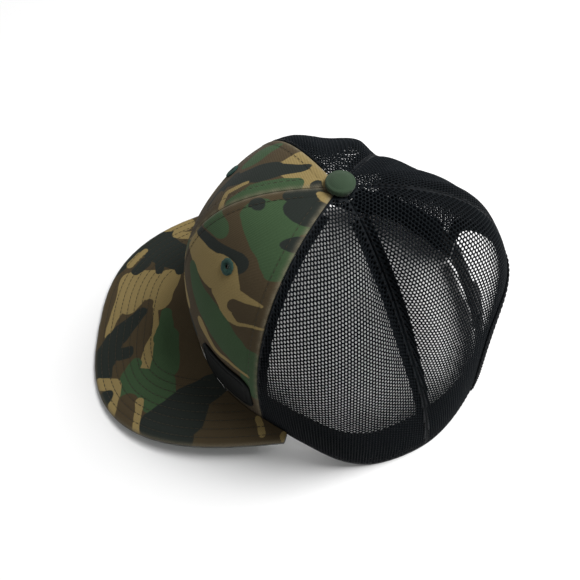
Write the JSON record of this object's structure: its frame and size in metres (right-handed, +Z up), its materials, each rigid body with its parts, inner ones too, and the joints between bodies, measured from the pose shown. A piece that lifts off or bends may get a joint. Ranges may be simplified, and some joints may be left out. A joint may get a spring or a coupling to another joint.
{
  "type": "trucker mesh cap",
  "caption": "Six-panel cap with camouflage cloth front and flat brim, black open-mesh sides and back, covered top button, back arch and plastic snap strap.",
  "frame": {"origin": "on the ground under the middle of the cap's whole length and width; the middle of the head opening is 35.93 mm behind it", "axes": "+Z up, -Y toward the front edge of the brim, +X toward the wearer's left"},
  "size_m": [0.1938, 0.2576, 0.1377],
  "materials": {
    "camo_twill": "cotton twill printed with a woodland pattern",
    "buckram": "stiff open-weave lining",
    "black_mesh": "open polyester netting",
    "black_cloth": "woven tape and sweatband cloth",
    "green_cloth": "cloth-covered button",
    "green_thread": "embroidery thread",
    "badge_rubber": "smooth moulded plate",
    "brim_plastic": "flat plastic sheet",
    "strap_plastic": "moulded snap strap",
    "steel": "plain rivet"
  },
  "bodies": {
    "crown": {"front_panel_left": "camo_twill", "front_panel_right": "camo_twill", "front_lining_left": "buckram", "front_lining_right": "buckram", "side_mesh_left": "black_mesh", "side_mesh_right": "black_mesh", "back_mesh_left": "black_mesh", "back_mesh_right": "black_mesh", "seam_tape_front": "black_cloth", "seam_tape_front_left": "black_cloth", "seam_tape_back_left": "black_cloth", "seam_tape_front_right": "black_cloth", "seam_tape_back_right": "black_cloth", "seam_tape_back": "black_cloth", "arch_binding": "black_cloth", "sweatband": "black_cloth", "button_cover": "green_cloth", "button_rivet": "steel", "eyelet_left": "green_thread", "eyelet_right": "green_thread", "front_badge": "badge_rubber", "brim_cover_top": "camo_twill", "brim_board": "brim_plastic", "brim_cover_under": "camo_twill", "strap_tab_left": "strap_plastic", "strap_tab_right": "strap_plastic"},
    "outer_strap": {"strap_holes": "strap_plastic"},
    "inner_strap": {"strap_pegs": "strap_plastic"}
  },
  "joints": [
    {"name": "outer_strap_swing", "type": "hinge", "parent": "crown", "child": "outer_strap", "pos_m": [0.04288, 0.11304, 0.012], "axis": [0, 0, -1], "range_deg": [0, 65], "stiffness_Nm_per_rad": 0.002},
    {"name": "inner_strap_swing", "type": "hinge", "parent": "crown", "child": "inner_strap", "pos_m": [-0.04288, 0.11304, 0.012], "axis": [0, 0, -1], "range_deg": [0, 25], "stiffness_Nm_per_rad": 0.002}
  ]
}
